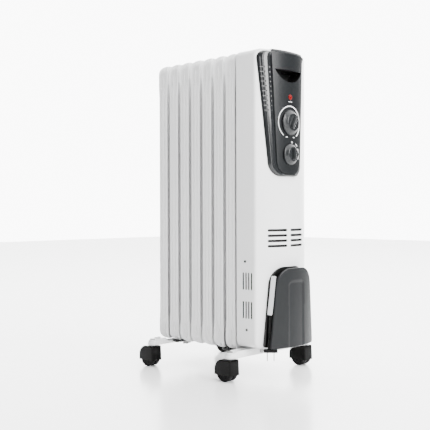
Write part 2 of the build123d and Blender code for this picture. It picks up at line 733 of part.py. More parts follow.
def caster_pins():
    """Steel swivel stem with its head, and the wheel axle."""
    stem = rod_z(STEM_R, HOOD_TOP - 3, 55.1, 0, -TRAIL) + rod_z(5.6, 55.1, 57, 0, -TRAIL)
    axle = rod_x(2.5, -HOOD_HALF + 0.6, HOOD_HALF - 0.6, 0, WHEEL_R)
    return Compound(children=[stem, axle])


def caster_places():
    names = ("front_left", "front_right", "rear_left", "rear_right")
    corners = [(s * CASTER_TRACK, CHORD + y) for y in (FRONT_AXLE, REAR_AXLE) for s in (-1, 1)]
    return dict(zip(names, corners))


# ---- every sub-part by name ----
def parts():
    shapes = {}
    one_fin = fin()
    for i, y in enumerate(fin_rows()):
        shapes[f"fin_{i + 1}"] = Pos(0, y, 0) * one_fin
    for make in (header_collars, header_caps, heating_element, element_flange, flange_bolts):
        shapes[make.__name__] = make()
    for make in (housing_cover, housing_back_plate, housing_brackets, case_screws):
        shapes[make.__name__] = make()
    for make in (control_base, control_face, grip_pocket, indicator_lens, indicator_lamp):
        shapes[make.__name__] = make()
    shapes["thermostat_knob"] = knob(THERMOSTAT_Z, 24.4, 16.5, 16.0, 28)
    shapes["thermostat_shaft"] = shaft(THERMOSTAT_Z)
    shapes["thermostat_body"] = switch_body(THERMOSTAT_Z, 17, 15, 20)
    shapes["mode_knob"] = knob(MODE_Z, 20.8, 14.0, 13.5, 0)
    shapes["mode_shaft"] = shaft(MODE_Z)
    shapes["mode_switch_body"] = switch_body(MODE_Z, 15, 13, 22)
    for make in (control_bracket, thermal_cutoff, tip_switch_case, tip_switch_pendulum):
        shapes[make.__name__] = make()
    for make in (terminal_block, wiring_loom, winder_base, winder_cover, cord_gland):
        shapes[make.__name__] = make()
    coil = cord_coil()
    shapes["cord_coil"] = coil
    shapes["cord_lead"] = cord_run("cord_lead", LEAD_ROUTE, coil)
    shapes["cord_tail"] = cord_run("cord_tail", TAIL_ROUTE, coil)
    for make in (plug_body, plug_blades, cord_label):
        shapes[make.__name__] = make()
    for make in (foot_front, foot_rear, foot_saddles, u_bolts, wing_nuts):
        shapes[make.__name__] = make()
    hood, wheel, pins = caster_hood(), caster_wheel(), caster_pins()
    for name, (x, y) in caster_places().items():
        shapes[f"caster_hood_{name}"] = Pos(x, y, 0) * hood
        shapes[f"caster_wheel_{name}"] = Pos(x, y, 0) * wheel
        shapes[f"caster_pins_{name}"] = Pos(x, y, 0) * pins
    return shapes


os.makedirs("parts", exist_ok=True)
for node, shape in parts().items():
    export_step(shape, f"parts/{node}.step")
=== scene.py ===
import json
import math
from math import cos, pi, radians, sin, sqrt

import bmesh
import bpy
from mathutils import Matrix, Vector


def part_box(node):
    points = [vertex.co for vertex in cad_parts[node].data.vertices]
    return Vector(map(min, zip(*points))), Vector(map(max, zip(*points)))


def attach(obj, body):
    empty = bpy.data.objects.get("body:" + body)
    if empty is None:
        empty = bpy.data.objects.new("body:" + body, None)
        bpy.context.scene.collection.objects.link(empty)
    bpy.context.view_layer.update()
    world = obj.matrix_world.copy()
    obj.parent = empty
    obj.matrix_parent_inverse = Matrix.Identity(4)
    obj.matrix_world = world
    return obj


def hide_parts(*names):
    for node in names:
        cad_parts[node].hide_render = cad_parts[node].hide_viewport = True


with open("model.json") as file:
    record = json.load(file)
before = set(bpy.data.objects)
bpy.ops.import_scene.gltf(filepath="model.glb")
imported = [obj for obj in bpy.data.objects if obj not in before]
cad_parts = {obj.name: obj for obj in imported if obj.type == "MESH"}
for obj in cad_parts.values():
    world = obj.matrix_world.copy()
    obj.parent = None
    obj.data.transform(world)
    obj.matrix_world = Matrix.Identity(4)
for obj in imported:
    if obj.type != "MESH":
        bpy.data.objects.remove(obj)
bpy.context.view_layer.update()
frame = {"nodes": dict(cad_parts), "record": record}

# Oil filled radiator heater. Shapes are worked out in millimetres in the frame of the CAD model:
# X right as seen from the control panel, Y back along the fins, Z up. Meshes are in metres.
MM = 0.001


def box_mm(node):
    """Lowest and highest corner of a CAD node, in millimetres."""
    lo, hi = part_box(node)
    return [c / MM for c in lo], [c / MM for c in hi]


def middle(node):
    """Middle of a CAD node's box, in millimetres."""
    lo, hi = box_mm(node)
    return [(a + b) / 2 for a, b in zip(lo, hi)]


# ---- places taken from the CAD nodes ----
HOUSING_LO, HOUSING_HI = box_mm("housing_cover")
HALF = HOUSING_HI[0]
BOW = 21.2  # rise of the bowed front over its chord
BOW_R = (HALF**2 + BOW**2) / (2 * BOW)
CHORD = HOUSING_LO[1] + BOW
BOW_CENTRE = CHORD + BOW_R - BOW
BACK = HOUSING_HI[1]
CORNERS = ("front_left", "front_right", "rear_left", "rear_right")

# outlines: half width and height of the foot, the same of the top, radii of the foot and the top
HOUSING = (HALF, HOUSING_LO[2], HALF, HOUSING_HI[2], 14.0, 14.0)
BEZEL = (49.7, 388.0, 74.4, 626.0, 28.0, 14.0)
PANEL = (33.3, 392.0, 47.7, 632.0, 27.0, 10.0)
WINDER_BASE = (62.2, 63.0, 48.6, 214.5, 4.0, 35.0)
WINDER_COVER = (63.4, 61.0, 48.4, 212.5, 5.0, 33.0)
PANEL_FACE = 4.0  # how far the panel's face lies out from the bowed front
COVER_BACK, COVER_FACE = 17.0, 20.0  # the same for the two sides of the winder cover
GRIP_HALF, GRIP_TOP, GRIP_DROP = 39.5, 593.0, 23.0
FRONT_VENTS = (285.0, 274.8, 264.7, 254.8)  # heights of the slots in the front
SIDE_VENTS = (188.0, 133.0)  # heights of the two groups of slots in each side
HEADERS = (96.0, 585.0)  # heights of the bosses that join the fins


def front_y(x, out):
    """Y of the surface that lies out millimetres outside the bowed front."""
    return BOW_CENTRE - sqrt((BOW_R + out) ** 2 - x * x)


def on_bow(x, z, out):
    """Point at x and z that lies out millimetres outside the bowed front."""
    return (x, front_y(x, out), z)


def spread(start, end, steps):
    """steps + 1 values from start to end."""
    return [start + (end - start) * i / steps for i in range(steps + 1)]


def eased(t):
    """0 below 0, 1 above 1 and smooth between."""
    t = min(max(t, 0.0), 1.0)
    return t * t * (3 - 2 * t)


# ---- camera ----
CAMERA_PLACE = Vector((-1.192252, -1.115413, 0.325843))
CAMERA_YAW = radians(45.41875)
CAMERA_DIP = radians(0.42658)
CAMERA_ROLL = radians(-0.16865)
LENS, SENSOR = 66.22, 36.0


def make_camera():
    """Nearly level camera that sees the left side and the front."""
    data = bpy.data.cameras.new("camera")
    data.lens, data.sensor_width = LENS, SENSOR
    camera = bpy.data.objects.new("camera", data)
    bpy.context.scene.collection.objects.link(camera)
    ahead = Vector(
        (sin(CAMERA_YAW) * cos(CAMERA_DIP), cos(CAMERA_YAW) * cos(CAMERA_DIP), -sin(CAMERA_DIP))
    )
    level = Vector((cos(CAMERA_YAW), -sin(CAMERA_YAW), 0))
    upright = level.cross(ahead)
    right = level * cos(CAMERA_ROLL) + upright * sin(CAMERA_ROLL)
    up = -level * sin(CAMERA_ROLL) + upright * cos(CAMERA_ROLL)
    turn = Matrix((right, up, -ahead)).transposed()
    camera.matrix_world = Matrix.Translation(CAMERA_PLACE) @ turn.to_4x4()
    bpy.context.scene.camera = camera


make_camera()


# ---- finishes ----
FINISHES = {}  # each material slot's own material


def new_node(tree, kind, **values):
    """A shader node with values on its sockets."""
    node = tree.nodes.new(kind)
    for name, value in values.items():
        node.inputs[name].default_value = value
    return node


def finish_of(name, pale, deep, roughness, metallic=0.0, coat=0.0, grain=400.0, bump=0.02, **extra):
    """Paint, metal or plastic: two close tones mixed by noise, a fine grain and uneven gloss."""
    material = bpy.data.materials.new(name)
    material.use_nodes = True
    tree = material.node_tree
    shader = tree.nodes["Principled BSDF"]
    shader.inputs["Metallic"].default_value = metallic
    shader.inputs["Coat Weight"].default_value = coat
    shader.inputs["Coat Roughness"].default_value = 0.08
    for socket, value in extra.items():
        shader.inputs[socket.replace("_", " ")].default_value = value
    where = tree.nodes.new("ShaderNodeTexCoord")
    cloud = new_node(tree, "ShaderNodeTexNoise", Scale=14.0, Detail=4.0)
    fine = new_node(tree, "ShaderNodeTexNoise", Scale=grain, Detail=3.0)
    tree.links.new(where.outputs["Object"], cloud.inputs["Vector"])
    tree.links.new(where.outputs["Object"], fine.inputs["Vector"])
    tones = tree.nodes.new("ShaderNodeValToRGB")
    tones.color_ramp.elements[0].position, tones.color_ramp.elements[1].position = 0.35, 0.65
    tones.color_ramp.elements[0].color = (*deep, 1)
    tones.color_ramp.elements[1].color = (*pale, 1)
    tree.links.new(cloud.outputs["Fac"], tones.inputs["Fac"])
    tree.links.new(tones.outputs["Color"], shader.inputs["Base Color"])
    gloss = new_node(tree, "ShaderNodeMapRange")
    gloss.inputs["To Min"].default_value = roughness * 0.85
    gloss.inputs["To Max"].default_value = min(roughness * 1.15, 1.0)
    tree.links.new(fine.outputs["Fac"], gloss.inputs["Value"])
    tree.links.new(gloss.outputs["Result"], shader.inputs["Roughness"])
    relief = new_node(tree, "ShaderNodeBump", Strength=bump, Distance=0.001)
    tree.links.new(fine.outputs["Fac"], relief.inputs["Height"])
    tree.links.new(relief.outputs["Normal"], shader.inputs["Normal"])
    FINISHES[name] = material
    return material


def grey(value):
    """Neutral colour."""
    return (value, value, value)


# slot, pale and deep tone, roughness; then what differs from plain plastic
finish_of("white_enamel", grey(0.8), (0.775, 0.777, 0.78), 0.34, coat=0.15, grain=900.0, bump=0.04)
finish_of("zinc_steel", (0.3, 0.3, 0.29), grey(0.24), 0.35, metallic=1.0)
finish_of("element_sheath", (0.3, 0.27, 0.24), (0.2, 0.19, 0.18), 0.5, metallic=1.0)
finish_of(
    "slate_gloss", (0.0085, 0.0096, 0.0105), (0.0078, 0.0088, 0.0097), 0.17,
    coat=0.35, grain=700.0, bump=0.01, Specular_IOR_Level=0.3,
)
finish_of(
    "slate_satin", (0.0072, 0.0081, 0.0089), (0.0066, 0.0074, 0.0082), 0.32,
    grain=2200.0, bump=0.1, Specular_IOR_Level=0.2,
)
finish_of(
    "slate_knob", (0.0125, 0.014, 0.015), (0.0115, 0.0128, 0.0138), 0.22,
    grain=1500.0, bump=0.04, Specular_IOR_Level=0.3,
)
finish_of("black_satin", grey(0.0036), grey(0.003), 0.3, grain=1800.0, bump=0.05, Specular_IOR_Level=0.35)
finish_of("red_lens", (0.14, 0.0004, 0.0003), (0.1, 0.0003, 0.0002), 0.18, bump=0.0, Specular_IOR_Level=0.08)
finish_of("neon_glass", (0.8, 0.5, 0.35), (0.7, 0.4, 0.3), 0.1, bump=0.0)
finish_of("switch_resin", (0.5, 0.46, 0.38), (0.42, 0.38, 0.3), 0.55)
finish_of("cutoff_metal", (0.6, 0.58, 0.52), (0.5, 0.48, 0.44), 0.3, metallic=1.0)
finish_of("wire_sleeve", (0.75, 0.73, 0.68), (0.65, 0.62, 0.57), 0.6)
finish_of("cord_rubber", grey(0.0025), grey(0.002), 0.42, grain=1200.0, bump=0.1, Specular_IOR_Level=0.15)
finish_of("blade_nickel", (0.26, 0.255, 0.245), (0.2, 0.195, 0.19), 0.25, metallic=1.0)
finish_of("tag_white", (0.84, 0.84, 0.85), (0.68, 0.69, 0.71), 0.5, grain=260.0, bump=0.05)
finish_of("caster_gloss", grey(0.0011), grey(0.0009), 0.2, grain=900.0, Specular_IOR_Level=0.12)
finish_of("caster_tread", grey(0.0022), grey(0.0017), 0.5, grain=1400.0, bump=0.12, Specular_IOR_Level=0.12)
finish_of("print_white", (0.86, 0.87, 0.88), (0.8, 0.81, 0.82), 0.5, bump=0.0)


# ---- pieces from mesh code ----
def new_object(name, verts, faces, sharp=32.0):
    """A mesh from points in millimetres, welded, with its faces turned outward."""
    mesh = bpy.data.meshes.new(name)
    mesh.from_pydata([(x * MM, y * MM, z * MM) for x, y, z in verts], [], faces)
    work = bmesh.new()
    work.from_mesh(mesh)
    bmesh.ops.remove_doubles(work, verts=work.verts, dist=2e-6)
    bmesh.ops.dissolve_degenerate(work, edges=work.edges, dist=1e-6)
    bmesh.ops.recalc_face_normals(work, faces=work.faces)
    work.to_mesh(mesh)
    work.free()
    smooth(mesh, sharp)
    obj = bpy.data.objects.new(name, mesh)
    bpy.context.scene.collection.objects.link(obj)
    return obj


def smooth(mesh, sharp=32.0):
    """Smooth shading, with an edge kept sharp where its faces turn by more than that angle."""
    mesh.shade_smooth()
    mesh.set_sharp_from_angle(angle=radians(sharp))


def settle(obj, slot, body="root", stands_for=()):
    """Gives a piece its finish, the body it rides on and the CAD nodes it stands for."""
    obj.data.materials.clear()
    obj.data.materials.append(FINISHES[slot])
    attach(obj, body)
    if stands_for:
        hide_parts(*stands_for)
    return obj


def together(*parts):
    """One list of points and one of faces out of several."""
    verts, faces = [], []
    for more_verts, more_faces in parts:
        start = len(verts)
        verts += more_verts
        faces += [tuple(i + start for i in face) for face in more_faces]
    return verts, faces


def moved(part, x, y):
    """The same form, shifted."""
    verts, faces = part
    return [(a + x, b + y, c) for a, b, c in verts], faces


def strip(rows, closed=True):
    """Quads between rows of points that all have the same count."""
    count = len(rows[0])
    verts = [p for row in rows for p in row]
    faces = []
    for i in range(len(rows) - 1):
        for j in range(count if closed else count - 1):
            k = (j + 1) % count
            a, b = i * count, (i + 1) * count
            faces.append((a + j, a + k, b + k, b + j))
    return verts, faces


def capped(rows):
    """Closed form through rings of points, with a flat face over each end."""
    verts, faces = strip(rows)
    count = len(rows[0])
    last = (len(rows) - 1) * count
    return verts, faces + [tuple(range(count)), tuple(last + j for j in range(count))]


def right_side(outline, inset=0.0, steps=8, rows=24):
    """Right side of an outline with rounded corners, from its foot to its top."""
    half_low, z_low, half_high, z_high, r_low, r_high = outline
    lean = (half_high - half_low) / (z_high - z_low)
    stretch = math.hypot(1, lean)
    facing = math.atan(-lean)

    def arc(radius, z, start, end):
        x = half_low + (z - z_low) * lean - (inset + radius) * stretch
        return [(x + radius * cos(a), z + radius * sin(a)) for a in spread(start, end, steps)]

    low_r, high_r = max(r_low - inset, 0.3), max(r_high - inset, 0.3)
    low = arc(low_r, z_low + inset + low_r, -pi / 2, facing)
    high = arc(high_r, z_high - inset - high_r, facing, pi / 2)
    (x0, z0), (x1, z1) = low[-1], high[0]
    between = [(x0 + (x1 - x0) * i / rows, z0 + (z1 - z0) * i / rows) for i in range(1, rows)]
    return low + between + high


def rim(points, columns):
    """Whole outline from its right side, with points along the foot and the top."""
    (x0, z0), (x1, z1) = points[0], points[-1]
    foot = [(x0 * (2 * i / columns - 1), z0) for i in range(columns)]
    top = [(x1 * (1 - 2 * i / columns), z1) for i in range(columns)]
    left = [(-x, z) for x, z in reversed(points[1:])]
    return foot + points[:-1] + top + left


def cap(points, out, columns, place):
    """Grid over the inside of an outline."""
    rows = [[place(x * (2 * j / columns - 1), z, out) for j in range(columns + 1)] for x, z in points]
    return strip(rows, closed=False)


def layered(rings, columns, place=on_bow, ends=(True, True)):
    """Closed form from outline rings, each (right side, height), with a grid over both ends."""
    loops = [[place(x, z, out) for x, z in rim(points, columns)] for points, out in rings]
    parts = [strip(loops)]
    for wanted, (points, out) in zip(ends, (rings[0], rings[-1])):
        if wanted:
            parts.append(cap(points, out, columns, place))
    return together(*parts)


def rounding(edge, height, steps=4):
    """(inset, height) pairs round an edge from the wall up to a face at that height."""
    return [(edge * (1 - cos(a)), height - edge * (1 - sin(a))) for a in spread(0, pi / 2, steps)]


def lathe(profile, segments=64):
    """Rings of (radius, along) points turned about the third axis. Returns rows of points."""
    turns = [2 * pi * j / segments for j in range(segments)]
    return [[(r * cos(a), r * sin(a), along) for a in turns] for r, along in profile]


def facing_front(part, x, y, z):
    """Turns a form with its third axis outward so that it stands on a surface seen from the front."""
    verts, faces = part
    return [(x + u, y - w, z + v) for u, v, w in verts], faces


def front_cutter(outline, behind=6.0):
    """Bar of an X-Z outline, from in front of the heater to behind the chord of its front."""
    return capped([[(x, CHORD + y, z) for x, z in outline] for y in (-60, behind)])


def rectangle(a0, b0, a1, b1):
    """Four corners of a rectangle."""
    return [(a0, b0), (a1, b0), (a1, b1), (a0, b1)]


def circle(x, z, radius, steps):
    """Points round a circle."""
    return [(x + radius * cos(a), z + radius * sin(a)) for a in spread(0, 2 * pi, steps)[:-1]]


def slot_outline(half_length, half_height, x=0.0, z=0.0, upright=False, steps=6):
    """Round-ended slot as a list of points."""
    straight = half_length - half_height
    points = []
    for side in (1, -1):
        for a in spread(-pi / 2, pi / 2, steps):
            u, v = side * (straight + half_height * cos(a)), side * half_height * sin(a)
            points.append((x + v, z + u) if upright else (x + u, z + v))
    return points


def carve(obj, *cutters):
    """Cuts closed forms out of a piece."""
    tool = new_object("tool", *together(*cutters))
    cut = obj.modifiers.new("cut", "BOOLEAN")
    cut.operation, cut.solver, cut.object = "DIFFERENCE", "EXACT", tool
    graph = bpy.context.evaluated_depsgraph_get()
    made = bpy.data.meshes.new_from_object(obj.evaluated_get(graph))
    obj.modifiers.clear()
    obj.data = made
    smooth(made)
    bpy.data.objects.remove(tool)
    return obj


# ---- cord ----
CORD_D = 7.0
LEAD_ROUTE = [(51, 7.2, 98), (51, 7.2, 112), (49.8, 6.9, 127), (46.0, 6.2, 142), (42.2, 5.9, 157)]
TAIL_ROUTE = [
    (-43.0, 13.2, 170),
    (-46.6, 13.1, 160),
    (-50.0, 12.2, 150),
    (-52.4, 10.4, 134),
    (-54.4, 9.4, 117),
    (-55.2, 9.3, 104.5),
    (-55.2, 9.3, 93),
]
COIL_Z = 140.0
CORE_HALF = 22.0  # half of the straight sides of the winder core
TURN_R = (42.2, 35.05, 27.9)  # centreline of the three rings in each layer
LAYERS = (5.9, 13.3)  # how far the two layers lie out from the bowed front
TURN_STEP = radians(15)
FIRST_ANGLE, LAP_ANGLE, LAST_ANGLE = radians(75), radians(82.5), radians(-72)


def ring_places():
    """How each lap from the lead to the tail is laid: (radius, layer) at its start and its end.

    The cord climbs the right side, goes over the top and comes down the left. It shifts to the
    next ring while it comes round under the core and back up to the right side.
    """
    outer, centre, inner = TURN_R
    back, face = LAYERS
    return [
        (outer, back, centre, back),
        (centre, back, inner, back),
        (inner, back, inner, face),
        (inner, face, centre, face),
        (centre, face, outer, face),
    ]


def round_core(angle, radius):
    """Place on an oval round the core, with the angle measured clockwise from the top."""
    shift = CORE_HALF if cos(angle) > 0 else -CORE_HALF
    return radius * sin(angle), COIL_Z + shift + radius * cos(angle)


def coil_points():
    """(x, out, z) points of the wound cord, from the end of the lead to the start of the tail."""
    points = []

    def add(angle, radius, out):
        x, z = round_core(angle, radius)
        points.append((x, out, z))

    quarter = round(pi / 2 / TURN_STEP)
    for radius, out, next_radius, next_out in ring_places():
        angle = LAP_ANGLE if points else FIRST_ANGLE
        while angle > -pi - 1e-6:
            add(angle, radius, out)
            angle -= TURN_STEP
        for i in range(1, quarter + 1):
            t = eased(i / (quarter + 1))
            add(
                -pi - (i - 0.5) * TURN_STEP,
                radius + (next_radius - radius) * t,
                out + (next_out - out) * t,
            )
    angle = LAP_ANGLE
    while angle > LAST_ANGLE:
        add(angle, TURN_R[0], LAYERS[1])
        angle -= TURN_STEP
    return points


def make_cord():
    """One smooth line: up from the gland, round the core and down to the plug."""
    line = bpy.data.curves.new("mains_cord", "CURVE")
    line.dimensions = "3D"
    line.bevel_depth = CORD_D / 2 * MM
    line.bevel_resolution = 5
    line.resolution_u = 6
    route = LEAD_ROUTE[:-1] + coil_points() + TAIL_ROUTE
    spline = line.splines.new("NURBS")
    spline.points.add(len(route) - 1)
    for point, (x, out, z) in zip(spline.points, route):
        point.co = (x * MM, front_y(x, out) * MM, z * MM, 1)
    spline.order_u = 3
    spline.use_endpoint_u = True
    line.use_fill_caps = True
    cord = bpy.data.objects.new("mains_cord", line)
    bpy.context.scene.collection.objects.link(cord)
    return settle(cord, "cord_rubber", stands_for=("cord_coil", "cord_lead", "cord_tail"))


# ---- housing ----
def grip_mouth(margin=0.0):
    """Crescent: a straight edge over an arc."""
    half, top, drop = GRIP_HALF + margin, GRIP_TOP + margin, GRIP_DROP + 2 * margin
    radius = (half**2 + drop**2) / (2 * drop)
    reach = math.asin(half / radius)
    centre = top - drop + radius
    return [(radius * sin(a), centre - radius * cos(a)) for a in spread(-reach, reach, 28)]


def make_housing():
    """White sheet-metal shell, open at the back, with its vents and the opening for the grip."""
    sheet, edge = 1.0, 3.2

    def place(x, z, out):
        return (x, BACK, z) if out is None else on_bow(x, z, out)

    def side(inset):
        return right_side(HOUSING, inset, rows=36)

    rings = [(side(sheet), -sheet), (side(sheet), None), (side(0), None)]
    rings += [(side(inset), out) for inset, out in rounding(edge, 0.0, 5)]
    shell = new_object("housing_shell", *layered(rings, 36, place))
    cuts = []
    for z in FRONT_VENTS:
        for x in (-28.4, 28.4):
            cuts.append(front_cutter(slot_outline(23.8, 2.5, x, z)))
    for z in SIDE_VENTS:
        for y in (9.0, 16.0, 23.0, 30.0):
            outline = slot_outline(16.9, 2.0, CHORD + y, z, upright=True)
            for x in (-HALF, HALF):
                cuts.append(capped([[(x + d, y2, z2) for y2, z2 in outline] for d in (-4, 4)]))
    wide = GRIP_HALF + 3
    cuts.append(front_cutter(rectangle(-wide, GRIP_TOP - GRIP_DROP - 3, wide, GRIP_TOP + 4)))
    carve(shell, *cuts)
    settle(shell, "white_enamel", stands_for=("housing_cover",))


def make_screw_recess_shade():
    """Dark cross in the head of each side screw: painted shade of its cross recess."""
    parts = []
    long, short = 2.1, 0.75
    for side in (-1, 1):
        x = side * (HALF + 1.0)
        for y, z in ((CHORD + 24.6, 225.6), (CHORD + 21.0, 94.9)):
            for half_y, half_z in ((long, short), (short, long)):
                loop = rectangle(y - half_y, z - half_z, y + half_y, z + half_z)
                parts.append(capped([[(x + d, a, b) for a, b in loop] for d in (-0.3, side * 0.04)]))
    settle(new_object("screw_cross_shade", *together(*parts)), "black_satin")


def make_painted_vent_shade():
    """Dark sheets inside the housing, just behind the groups of slots: painted shade for the dark inside of
    the vents.
    """
    rows = spread(-54, 54, 18)
    loops = []
    for z in (FRONT_VENTS[-1] - 6.8, FRONT_VENTS[0] + 7.0):
        outer = [on_bow(x, z, -4.0) for x in rows]
        loops.append(outer + [on_bow(x, z, -4.5) for x in reversed(rows)])
    parts = [capped(loops)]
    for side in (-1, 1):
        for z in SIDE_VENTS:
            loop = rectangle(CHORD + 5, z - 20, CHORD + 34, z + 20)
            parts.append(capped([[(side * (HALF - inset), y, h) for y, h in loop] for inset in (3.5, 4.0)]))
    settle(new_object("vent_painted_shade", *together(*parts)), "black_satin")


# ---- control pod ----
def half_at(outline, z):
    """Half width of a tapered outline at height z."""
    return outline[0] + (outline[2] - outline[0]) * (z - outline[1]) / (outline[3] - outline[1])


def bowed_block(x0, x1, z0, z1, out):
    """Cutter with its rear face on the bow, from x0 to x1."""
    front, columns = 16.0, 3
    loop = [on_bow(x, z0, out) for x in spread(x0, x1, columns)]
    loop += [on_bow(x, z0, front) for x in spread(x1, x0, columns)]
    return capped([loop, [(x, y, z1) for x, y, _ in loop]])


def make_bezel():
    """Glossy band left of the panel, swelling towards its middle, with a floor behind the panel."""
    inner = (33.1, 392.4, 47.4, 621.0, 26.5, 9.0)
    right_edge = (34.8, BEZEL[1], 49.2, BEZEL[3], 28.0, 6.0)
    first_louvre, louvre_step, louvres = 513, 9.1, 10
    outside, inside = right_side(BEZEL, 0.0, 10, 36), right_side(inner, 0.0, 10, 36)

    def between(t):
        """Outline that is a share t of the way in from the outside of the band."""
        return [(a + (c - a) * t, b + (d - b) * t) for (a, b), (c, d) in zip(outside, inside)]

    section = [
        (0.015, 0.05), (0.0, 0.5), (0.006, 1.2), (0.025, 2.1), (0.06, 3.1), (0.11, 4.0), (0.18, 4.75),
        (0.26, 5.2), (0.35, 5.45), (0.45, 5.5), (0.55, 5.35), (0.65, 4.95), (0.75, 4.35), (0.84, 3.65),
        (0.92, 2.9), (0.97, 2.3), (1.0, 1.9),
    ]
    rings = [(between(t), out) for t, out in section]
    bezel = new_object("control_bezel", *layered(rings, 24), sharp=50)
    beyond = right_side(right_edge, 0.0, 10, 36)
    beyond += [(beyond[-1][0], 640), (100, 640), (100, 380), (beyond[0][0], 380)]
    seat = right_side(PANEL, -0.25, 14, 40)
    carve(bezel, front_cutter(beyond, 40))
    carve(bezel, layered([(seat, 1.95), (seat, 14.0)], 24))
    cuts = [front_cutter(grip_mouth(1.4))]
    for i in range(louvres):
        z = first_louvre + louvre_step * i
        near, far = half_at(PANEL, z), half_at(BEZEL, z)
        band = far - near
        outer_cut = (far - 2.0 - 0.32 * band, far - 2.0, 2.6)
        inner_cut = (near + 3.4, near + 0.26 * band, 3.0)
        for x0, x1, out in (outer_cut, inner_cut):
            cuts.append(bowed_block(-x1, -x0, z - 0.9, z + 0.9, out))
    for node, radius in (("indicator_lens", 5.6), ("thermostat_shaft", 5.0), ("mode_shaft", 5.0)):
        x, _, z = middle(node)
        cuts.append(front_cutter(circle(x, z, radius, 24)))
    carve(bezel, *cuts)
    settle(bezel, "slate_gloss", stands_for=("control_base",))


def make_panel():
    """Satin panel, rounded over the top of the housing."""
    back, roll, edge = 2.1, 8.5, 1.4
    roof = CHORD + 9
    top = PANEL[3]

    def place(x, z, out):
        if out is None:
            return (x, roof, z) if z > HOUSING_HI[2] else on_bow(x, z, back)
        into = max(z - (top - roll), 0.0)
        return (x, front_y(x, out) + roll - sqrt(roll**2 - into**2), z)

    def side(inset):
        return right_side(PANEL, inset, 14, 60)

    rings = [(side(0.0), None), (side(0.0), PANEL_FACE - edge)]
    rings += [(side(inset), out) for inset, out in rounding(edge, PANEL_FACE, 4)[1:]]
    panel = new_object("control_panel", *layered(rings, 30, place), sharp=40)
    x, _, z = middle("indicator_lens")
    carve(panel, front_cutter(grip_mouth(), 8), front_cutter(circle(x, z, 5.45, 32)))
    settle(panel, "slate_satin", stands_for=("control_face",))


def make_lens():
    """Domed jewel that stands a little out of the panel."""
    x, _, z = middle("indicator_lens")
    face = front_y(0, PANEL_FACE)
    profile = [
        (0.01, 2.5), (1.4, 2.4), (2.6, 2.05), (3.6, 1.5), (4.4, 0.95), (5.0, 0.45),
        (5.35, -0.1), (5.35, -3.2),
    ]
    lens = new_object("indicator_jewel", *facing_front(capped(lathe(profile, 32)), x, face, z))
    settle(lens, "red_lens", stands_for=("indicator_lens",))


def make_knob(name, node, body, turn, bar_half):
    """Low cone with a pointer ridge that thins towards its top."""
    lo, hi = box_mm(node)
    x, z, back = (lo[0] + hi[0]) / 2, (lo[2] + hi[2]) / 2, hi[1]
    skirt = [
        (0.01, 0.0), (23.5, 0.0), (24.4, 0.5), (24.4, 1.5), (24.0, 1.95), (23.2, 2.1), (22.6, 2.3),
        (17.7, 7.1), (16.9, 7.7), (16.0, 7.95), (14.5, 8.0), (13.0, 7.85), (0.01, 7.6),
    ]
    scale = (hi[0] - lo[0]) / 2 / max(r for r, _ in skirt)
    skirt = capped(lathe([(r * scale, w) for r, w in skirt], 72))
    ridge = [
        (4.3, 0.6, 7.2), (4.1, 0.8, 9.0), (3.3, 1.2, 11.4), (2.3, 1.9, 13.1), (1.7, 2.4, 13.7),
        (1.0, 3.1, 14.0),
    ]
    rings = []
    for half, shorter, height in ridge:
        reach = bar_half - shorter
        rings.append((right_side((half, -reach, half, reach, half, half), 0.0, 6, 8), height))
    t = radians(turn)

    def place(u, v, w):
        return (u * cos(t) + v * sin(t), v * cos(t) - u * sin(t), w)

    bar = layered(rings, 4, place)
    knob = new_object(name, *facing_front(together(skirt, bar), x, back, z), sharp=28)
    settle(knob, "slate_knob", body, (node,))


def ribbon(path):
    """Thin raised print along (x, z, half width) points on the panel."""
    low, high = PANEL_FACE - 0.1, PANEL_FACE + 0.08
    rows = []
    for i, (x, z, half) in enumerate(path):
        ahead, behind = path[min(i + 1, len(path) - 1)], path[max(i - 1, 0)]
        along = Vector((ahead[0] - behind[0], ahead[1] - behind[1])).normalized()
        side = (-along[1] * half, along[0] * half)
        left, right = (x + side[0], z + side[1]), (x - side[0], z - side[1])
        rows.append([on_bow(*left, low), on_bow(*left, high), on_bow(*right, high), on_bow(*right, low)])
    return capped(rows)


def arc_path(x, z, radius, start, end, half_start, half_end, steps=40):
    """Points on an arc between two clock angles in degrees, with a changing half width."""
    path = []
    for t in spread(0.0, 1.0, steps):
        a = radians(start + (end - start) * t)
        path.append((x + radius * sin(a), z + radius * cos(a), half_start + (half_end - half_start) * t))
    return path


def make_prints():
    """Generic dial marks: a ring that widens towards warmer settings, dashes, a dot and short arcs."""
    x, _, z = middle("thermostat_knob")
    parts = [ribbon(arc_path(x, z, 31.6, -143, 143, 0.5, 1.2, 72))]
    for dash in (x - 10.7, x + 10.7):
        parts.append(ribbon([(dash - 2.4, z - 28.2, 0.7), (dash + 2.4, z - 28.2, 0.7)]))
    _, _, lamp = middle("indicator_lens")
    parts.append(ribbon([(u, lamp - 9.0, 0.45) for u in spread(-5.2, 5.2, 8)]))
    x, _, z = middle("mode_knob")
    parts.append(ribbon(arc_path(x + 4.8, z + 23.5, 1.5, 0, 360, 0.45, 0.45, 20)))
    for start, end in ((38, 54), (64, 81), (91, 107)):
        parts.append(ribbon(arc_path(x, z, 27.4, start, end, 0.6, 0.9, 10)))
    settle(new_object("dial_marks", *together(*parts)), "print_white")


